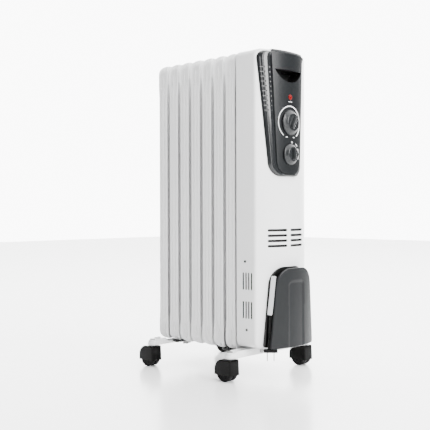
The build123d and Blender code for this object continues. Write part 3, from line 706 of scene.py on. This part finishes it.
# ---- cord winder ----
def make_winder_base():
    """Back plate of the winder, with the hollow core that the cord goes round."""
    thick, edge, core, wall = 2.0, 0.5, 24.0, 2.0
    plate_rings = [(right_side(WINDER_BASE, 0.0, 14), out) for out in (0.05, thick - edge)]
    plate_rings += [(right_side(WINDER_BASE, inset, 14), out) for inset, out in rounding(edge, thick, 2)[1:]]
    oval = (core, COIL_Z - CORE_HALF - core, core, COIL_Z + CORE_HALF + core, core, core)
    near, far = thick - 0.2, COVER_BACK + 0.1
    hub_rings = []
    for inset, out in ((0.0, near), (0.0, far), (wall, far), (wall, near), (0.0, near)):
        hub_rings.append((right_side(oval, inset, 14, 6), out))
    form = together(layered(plate_rings, 24), layered(hub_rings, 2, ends=(False, False)))
    settle(new_object("winder_back", *form), "black_satin", stands_for=("winder_base",))


def make_winder_cover():
    """Front cover of the winder, with a sunk panel that has sloping sides."""
    edge, rear_edge = 1.8, 0.6
    levels = [(rear_edge, COVER_BACK), (0.0, COVER_BACK + rear_edge)] + rounding(edge, COVER_FACE, 3)
    rings = [(right_side(WINDER_COVER, inset, 10, 40), out) for inset, out in levels]
    cover = new_object("winder_front", *layered(rings, 32))
    sunk = (23.5, 50.0, 23.5, 188.0, 1.0, 9.0)
    levels = ((3.6, COVER_FACE - 1.5), (0.0, COVER_FACE + 0.02), (-0.4, COVER_FACE + 3))
    carve(cover, layered([(right_side(sunk, inset, 6, 24), out) for inset, out in levels], 16))
    settle(cover, "slate_satin", stands_for=("winder_cover",))


def make_tag():
    """Blank tag with rounded corners, a little wavy, closing the left side of the winder."""
    lo, hi = box_mm("cord_label")
    thick, margin, radius, wave = 0.25, 0.3, 1.6, 0.12
    rear, front = 5.4, 16.2
    rows = []
    for z in spread(lo[2] + margin, hi[2] - margin, 30):
        end = min(z - lo[2], hi[2] - z, radius)
        corner = radius - sqrt(radius**2 - (radius - end) ** 2)
        middle_x = lo[0] + margin + (hi[0] - lo[0] - 2 * margin) * (z - lo[2]) / (hi[2] - lo[2])
        row = []
        for out in spread(rear + corner, front - corner, 6):
            row.append((middle_x + wave * sin(z / 6.0) * sin((out - 3) / 13 * pi), out))
        outer = [(x - thick, front_y(x, out), z) for x, out in row]
        inner = [(x + thick, front_y(x, out), z) for x, out in reversed(row)]
        rows.append(outer + inner)
    return settle(new_object("cord_tag", *capped(rows)), "tag_white", stands_for=("cord_label",))


def rounded_loop(half_x, half_y, radius, steps=6):
    """Rectangle with rounded corners, as points round it."""
    loop = []
    for k, (sx, sy) in enumerate(((1, 1), (-1, 1), (-1, -1), (1, -1))):
        for a in spread(k * pi / 2, (k + 1) * pi / 2, steps):
            loop.append((sx * (half_x - radius) + radius * cos(a), sy * (half_y - radius) + radius * sin(a)))
    return loop


def turned(loop, x, y, z, turn):
    """A loop at height z, turned about its own middle at x and y."""
    return [(x + u * cos(turn) - v * sin(turn), y + u * sin(turn) + v * cos(turn), z) for u, v in loop]


def make_plug():
    """Two-blade plug: wide face block, tapered grip and a ribbed neck up to the cord."""
    blade_x, blade_y, _ = middle("plug_blades")
    end_x, end_out, _ = TAIL_ROUTE[-1]
    end_y, top = front_y(end_x, end_out), box_mm("plug_body")[1][2]
    turn = radians(-45)
    neck, rib, groove, rib_step, ribs = 82.0, 4.05, 3.6, 1.9, 6
    sections = [
        (54.5, 12.5, 6.8, 2.4), (54.9, 13.1, 7.3, 2.9), (55.6, 13.25, 7.5, 3.0), (59.2, 13.25, 7.5, 3.0),
        (59.9, 12.9, 7.2, 2.8), (60.2, 12.2, 6.7, 2.4), (60.4, 6.6, 5.8, 2.4), (61.0, 5.6, 5.3, 2.3),
        (66.0, 5.3, 5.1, 2.3), (72.0, 4.9, 4.8, 2.4), (78.0, 4.5, 4.5, 2.8), (81.0, 4.3, 4.3, 3.4),
    ]
    rows = []
    for z, half_x, half_y, radius in sections:
        rows.append(turned(rounded_loop(half_x, half_y, radius), blade_x, blade_y, z, turn))
    for i in range(ribs):
        low = neck + rib_step * i
        for z, r in ((low, rib), (low + 1.0, rib), (low + 1.2, groove), (low + 1.7, groove)):
            t = (z - neck) / (top - neck)
            x, y = blade_x + (end_x - blade_x) * t, blade_y + (end_y - blade_y) * t
            rows.append(turned(rounded_loop(r, r, r), x, y, z, turn))
    rows = [row for row in rows if row[0][2] <= top]
    plug_grip = new_object("plug_grip", *capped(rows), sharp=40)
    return settle(plug_grip, "cord_rubber", stands_for=("plug_body",))


# ---- fins ----
def fin_strip(side):
    """Folded strip down one side: a seam, two grooves, and a dished paddle at each end."""
    half, corner, wing, sheet = 73.8, 20.0, 13.35, 0.7
    groove_low, groove_high = 86, 587
    low, high = box_mm("fin_1")[0][2], box_mm("fin_1")[1][2]
    path = []
    for a in spread(pi / 2, 0, 9):
        path.append((half - corner + corner * cos(a), high - corner + corner * sin(a), cos(a), sin(a)))
    heights = [606, 600, 594, 588, 583, 578, 573, 560] + spread(530, 150, 8) + [110, 100, 95, 90, 85, 80, 75]
    path += [(half, z, 1.0, 0.0) for z in heights]
    for a in spread(0, -pi / 2, 9):
        path.append((half - corner + corner * cos(a), low + corner + corner * sin(a), cos(a), sin(a)))
    shares = [0, 0.03, 0.06, 0.1, 0.3, 0.345, 0.37, 0.4, 0.43, 0.455, 0.5]
    shares += [0.62, 0.75, 0.86, 0.92, 0.96, 0.985, 1.0]
    shares = [-s for s in reversed(shares[1:])] + shares
    rows = []
    for x, z, nx, nz in path:
        past = max(z - (high - wing), (low + wing) - z, 0.0)
        middle_part = eased((z - groove_low) / 10) * eased((groove_high - z) / 10)
        waist = 1 - 0.1 * eased((z - groove_low) / 30) * eased((groove_high - z) / 30)
        reach = max(waist * sqrt(max(wing**2 - past**2, 0.0)), 0.45)
        outer, inner = [], []
        for share in shares:
            y = share * reach
            from_edge = reach - abs(y)
            dish = (1 - middle_part) * 3.0 * eased((from_edge - 1.0) / 3.2)
            lip = 1.0 * (1 - eased(from_edge / 0.9))
            groove = middle_part * 2.2 * eased(1.25 - abs(abs(share) - 0.4) / 0.045)
            seam = middle_part * 0.7 * eased(1.0 - (0.07 - abs(share)) / 0.04)
            plain = middle_part * 0.35
            depth = min(dish + lip + groove + min(seam, plain) + 0.02, reach)
            outer.append((side * (x - nx * depth), y, z - nz * depth))
            inner.append((side * (x - nx * (depth + sheet)), y, z - nz * (depth + sheet)))
        rows.append(outer + inner[::-1])
    return capped(rows)


def fin_web():
    """Pressed steel web with its raised oil channels, front and back."""
    centres, half, corner = (-50, -19, 19, 50), 73.0, 20
    columns = [-half]
    for c in centres:
        columns += [c + step for step in (-9.5, -7.6, -5.6, -2.6, 0, 2.6, 5.6, 7.6, 9.5)]
    columns += [half]
    low, high = box_mm("fin_1")[0][2] + 0.4, box_mm("fin_1")[1][2] - 0.4
    levels = [low, low + 8, 76, 81.5, 83.5, 86, 92, 96, 100, 106, 108.5, 110.5, 114]
    levels += spread(150, 530, 6)
    levels += [567, 570.5, 572.5, 575, 581, 585, 589, 595, 597.5, 599.5, 604, high - 8, high]

    def rise(x, z):
        """How far the sheet stands out from the middle of the fin."""
        upright = max(1 - eased((abs(x - c) - 4.6) / 4.0) for c in centres)
        upright *= eased((z - 83) / 4) * eased((598 - z) / 4)
        across = max(1 - eased((abs(z - c) - 9.5) / 4.0) for c in HEADERS)
        across *= 1 - eased((abs(x) - 54.6) / 4.0)
        return 0.4 + 3.4 * max(upright, across)

    rows = []
    for z in levels:
        from_end = min(z - low, high - z)
        tuck = corner - sqrt(corner**2 - max(corner - from_end, 0.0) ** 2)
        fit = (half - tuck) / half
        face = [(x * fit, -rise(x, z), z) for x in columns]
        rows.append(face + [(x, -y, z2) for x, y, z2 in reversed(face)])
    return capped(rows)


def header_boss(z):
    """Hollow boss round the oil passage between two fins, at height z."""
    bore, radius, half, edge = 15.0, 20.0, 12.0, 0.8
    profile = [(bore, -half), (radius - edge, -half), (radius, -half + 1), (radius, half - 1)]
    profile += [(radius - edge, half), (bore, half), (bore, -half)]
    return facing_front(strip(lathe(profile, 48)), 0.0, 0.0, z)


def make_fins():
    """Equal fins, each where the CAD has it."""
    form = together(fin_strip(-1), fin_strip(1), fin_web(), *(header_boss(z) for z in HEADERS))
    for i in range(1, 8):
        fin = new_object(f"radiator_fin_{i}", *form, sharp=40)
        fin.location.y = middle(f"fin_{i}")[1] * MM
        settle(fin, "white_enamel", stands_for=(f"fin_{i}",))


# ---- feet ----
def make_foot(name, node, crown, tongue):
    """Pressed channel with rounded ends, open at the top, with a socket for each caster."""
    lo, hi = box_mm(node)
    tip, base, high = hi[0], lo[2], 57.0
    stem = box_mm("caster_pins_front_left" if "front" in node else "caster_pins_rear_left")[0][1] + 5.6
    plan = (tip, stem - 10, tip, stem + 10, 10, 10)
    track = (box_mm("caster_pins_front_right")[0][0] + box_mm("caster_pins_front_right")[1][0]) / 2

    def top(x):
        """Height of the channel's rims: level under the fins, sloping down to the casters."""
        x = abs(x)
        ramp = high - (high - 50) * max(x - 98, 0) / (tip - 98)
        return crown + (ramp - crown) * eased((x - 78) / 6)

    def place(x, y, level):
        drop, floor = level
        return (x, y, floor if floor is not None else top(x) - drop)

    def side(inset):
        return right_side(plan, inset, 10, 2)

    wall = 1.6
    rings = [(side(1.2), (0, base)), (side(0.4), (0, base + 0.35)), (side(0), (0, base + 1.2))]
    rings += [(side(inset), (drop, None)) for inset, drop in ((0, 1.3), (0.35, 0.4), (0.9, 0), (wall, 0))]
    rings += [(side(wall + 0.2), (0, base + 3.4)), (side(wall + 1.2), (0, base + 2.0))]
    bar = layered(rings, 60, place)
    y0, y1 = tongue
    plate = capped([[(x, y, z) for x, y in rounded_tongue(y0, y1)] for z in (base, base + 2)])
    parts = [bar, plate]
    socket = [(4.05, 44.5), (4.05, 54.9), (7.0, 54.9), (7.5, 54.4), (7.5, 44.5), (4.05, 44.5)]
    for x in (-track, track):
        parts.append(moved(strip(lathe(socket, 32)), x, stem))
    foot = new_object(name, *together(*parts), sharp=38)
    settle(foot, "white_enamel", stands_for=(node,))


def rounded_tongue(y0, y1):
    """Plan of the plate that a foot holds under the fins."""
    return [(x, (y0 + y1) / 2 + y) for x, y in rounded_loop(30, (y1 - y0) / 2, 4)]


def make_feet():
    """Both feet, each with a tongue under the fins for its bolt."""
    front, rear = box_mm("foot_front"), box_mm("foot_rear")
    front_stem, rear_stem = front[0][1] + 10, rear[1][1] - 10
    make_foot("foot_channel_front", "foot_front", 57.0, (front_stem + 5, front[1][1]))
    make_foot("foot_channel_rear", "foot_rear", 49.4, (rear[0][1], rear_stem - 5))


def make_saddles():
    """Black cushions under the lowest fins, round underneath."""
    top, swell = 49.9, 4.3
    parts = []
    for y0, y1 in ((CHORD + 58, CHORD + 98), (CHORD + 220, box_mm("foot_saddles")[1][1])):
        centre, reach = (y0 + y1) / 2, (y1 - y0) / 2
        loops = []
        for x, inset in ((-66, 1.0), (-65.6, 0.3), (-65, 0), (65, 0), (65.6, 0.3), (66, 1.0)):
            under = []
            for a in spread(0, pi, 16):
                z = top - inset * 0.3 - (swell - inset) * abs(sin(a)) ** 0.8
                under.append((x, centre + (reach - inset) * cos(a), z))
            loops.append(under)
        parts.append(capped(loops))
    y = CHORD + 82.3
    for x0, x1, half in ((-66, 66, 2.2), (-27, -25, 5), (25, 27, 5)):
        loop = rectangle(x0, y - half, x1, y + half)
        parts.append(capped([[(a, b, z) for a, b in loop] for z in (49, 60)]))
    settle(new_object("fin_cushions", *together(*parts)), "black_satin", stands_for=("foot_saddles",))


# ---- casters ----
def hood_outline(inset, low=13.0):
    """Y-Z outline of the hood about its axle: flat front, round back, with a slight flare."""
    front, rear, top = -20.8 + inset, 22.3 - inset, 42.5 - 0.7 * inset
    radius, nose, lean = 20.0 - inset, 2.5, 1.3
    points = [(rear, low)]
    for a in spread(0, pi / 2, 10):
        points.append((rear - radius + radius * cos(a), top - radius + radius * sin(a)))
    for a in spread(pi / 2, pi, 4):
        points.append((front + lean + nose + nose * cos(a), top - nose + nose * sin(a)))
    points += [(front + lean * t, z) for t, z in ((0.75, 34.0), (0.5, 27.0), (0.25, 20.0), (0.0, low))]
    return points


def make_hood(corner, x, y):
    """Rounded hood of a caster, hollow underneath."""
    half, edge, wall, ceiling = 13.3, 3.0, 1.7, 39.4
    across = [(-half + edge - edge * cos(a), edge * (1 - sin(a))) for a in spread(0, pi / 2, 6)]
    across += [(-u, inset) for u, inset in reversed(across)]
    rows = [[(u, v, w) for v, w in hood_outline(inset)] for u, inset in across]
    hood = new_object(f"caster_cowl_{corner}", *moved(capped(rows), x, y), sharp=34)
    sides = (-half + wall, half - wall)
    hollow = [[(u, v, min(w, ceiling)) for v, w in hood_outline(wall, 8.0)] for u in sides]
    carve(hood, moved(capped(hollow), x, y))
    settle(hood, "caster_gloss", f"swivel_{corner}", (f"caster_hood_{corner}",))


def make_wheel(corner, x, y, radius, reach):
    """Wheel with raised spokes in its hollow sides, a grooved tread and a groove round its middle."""
    profile = [
        (2.55, -reach), (7.0, -reach), (7.6, -reach + 1.2), (14.6, -reach + 1.2), (15.2, -reach),
        (16.8, -reach), (18.2, -reach + 0.7), (radius, -reach + 1.9), (radius, -2.2), (18.2, -1.4),
        (16.3, -1.2),
    ]
    profile += [(r, -u) for r, u in reversed(profile)] + [profile[0]]
    segments = 96
    rows = []
    for r, u in profile:
        row = []
        for j in range(segments):
            a = 2 * pi * j / segments
            shrink = 0.45 if j % 4 == 0 and r > 18.5 else 0.0
            spoke = 0.9 if 7.5 < r < 15 and j % 16 < 2 else 0.0
            side = u + math.copysign(spoke, u)
            row.append((x + side, y + (r - shrink) * cos(a), radius + (r - shrink) * sin(a)))
        rows.append(row)
    wheel = new_object(f"caster_tyre_{corner}", *strip(rows), sharp=30)
    settle(wheel, "caster_tread", f"wheel_{corner}", (f"caster_wheel_{corner}",))


def make_caster(corner):
    """Hood and wheel of one caster, where the CAD has its wheel. The wheel stands on the floor."""
    lo, hi = box_mm(f"caster_wheel_{corner}")
    x, y, radius = middle(f"caster_wheel_{corner}")
    make_hood(corner, x, y)
    make_wheel(corner, x, y, radius, (hi[0] - lo[0]) / 2)


# ---- everything that the CAD model already has right ----
def dress_cad_nodes():
    """A finish for each CAD node, and smooth shading where its surfaces are round."""
    slots = {row["node"]: row["material_slot"] for row in frame["record"]["subparts"]}
    for name, obj in frame["nodes"].items():
        obj.data.materials.clear()
        obj.data.materials.append(FINISHES[slots[name]])
        for polygon in obj.data.polygons:
            polygon.use_smooth = True
        weld = obj.modifiers.new("weld", "WELD")
        weld.merge_threshold = 2e-6
        split = obj.modifiers.new("split", "EDGE_SPLIT")
        split.split_angle = radians(30)


# ---- floor and light ----
def make_floor():
    """Plain pale floor, in metres."""
    size = 6.0
    floor = bpy.data.meshes.new("floor")
    floor.from_pydata([(x, y, 0) for x, y in rectangle(-size, -size, size, size)], [], [(0, 1, 2, 3)])
    obj = bpy.data.objects.new("floor", floor)
    bpy.context.scene.collection.objects.link(obj)
    obj.data.materials.append(finish_of("floor", grey(0.93), grey(0.92), 0.22, bump=0.0))


def area_light(name, place, aim, size, power):
    """Soft white box that points at a place."""
    data = bpy.data.lights.new(name, "AREA")
    data.shape, data.size, data.size_y = "RECTANGLE", size[0], size[1]
    data.energy = power
    light = bpy.data.objects.new(name, data)
    bpy.context.scene.collection.objects.link(light)
    light.location = place
    light.rotation_euler = (Vector(aim) - Vector(place)).to_track_quat("-Z", "Y").to_euler()


def make_light():
    """Bright backdrop behind the heater and a dim room elsewhere, with soft boxes round it."""
    world = bpy.data.worlds.new("studio")
    bpy.context.scene.world = world
    world.use_nodes = True
    tree = world.node_tree
    background = tree.nodes["Background"]
    background.inputs["Color"].default_value = (1.0, 1.0, 1.0, 1.0)
    where = tree.nodes.new("ShaderNodeTexCoord")
    facing = tree.nodes.new("ShaderNodeVectorMath")
    facing.operation = "DOT_PRODUCT"
    facing.inputs[1].default_value = (0.71, 0.7, 0.05)
    glow = new_node(tree, "ShaderNodeMapRange")
    glow.interpolation_type = "SMOOTHSTEP"
    for name, value in (("From Min", 0.6), ("From Max", 0.93), ("To Min", 0.35), ("To Max", 10.0)):
        glow.inputs[name].default_value = value
    tree.links.new(where.outputs["Generated"], facing.inputs[0])
    tree.links.new(facing.outputs["Value"], glow.inputs["Value"])
    tree.links.new(glow.outputs["Result"], background.inputs["Strength"])
    area_light("overhead", (1.1, -0.1, 2.8), (1.1, -0.1, 0), (5.0, 5.0), 460.0)
    area_light("key", (0.3, -2.5, 1.4), (0, 0, 0.35), (1.3, 1.3), 140.0)
    area_light("strip", (-0.55, -2.0, 0.9), (0, -0.1, 0.45), (0.25, 1.8), 17.0)
    area_light("corner", (-1.9, -2.0, 1.0), (0, -0.1, 0.35), (0.5, 0.7), 10.0)


mains_cord = make_cord()
plug = make_plug()
tag = make_tag()
exit_x, exit_out, exit_z = LEAD_ROUTE[0]
[c * MM for c in on_bow(exit_x, exit_z, exit_out)]
dress_cad_nodes()
make_housing()
make_screw_recess_shade()
make_painted_vent_shade()
make_bezel()
make_panel()
make_lens()
make_knob("thermostat_dial_knob", "thermostat_knob", "thermostat_dial", 28.0, 16.0)
make_knob("mode_dial_knob", "mode_knob", "mode_dial", 0.0, 13.5)
make_prints()
make_winder_base()
make_winder_cover()
make_fins()
make_feet()
make_saddles()
for corner_name in CORNERS:
    make_caster(corner_name)
make_floor()
make_light()
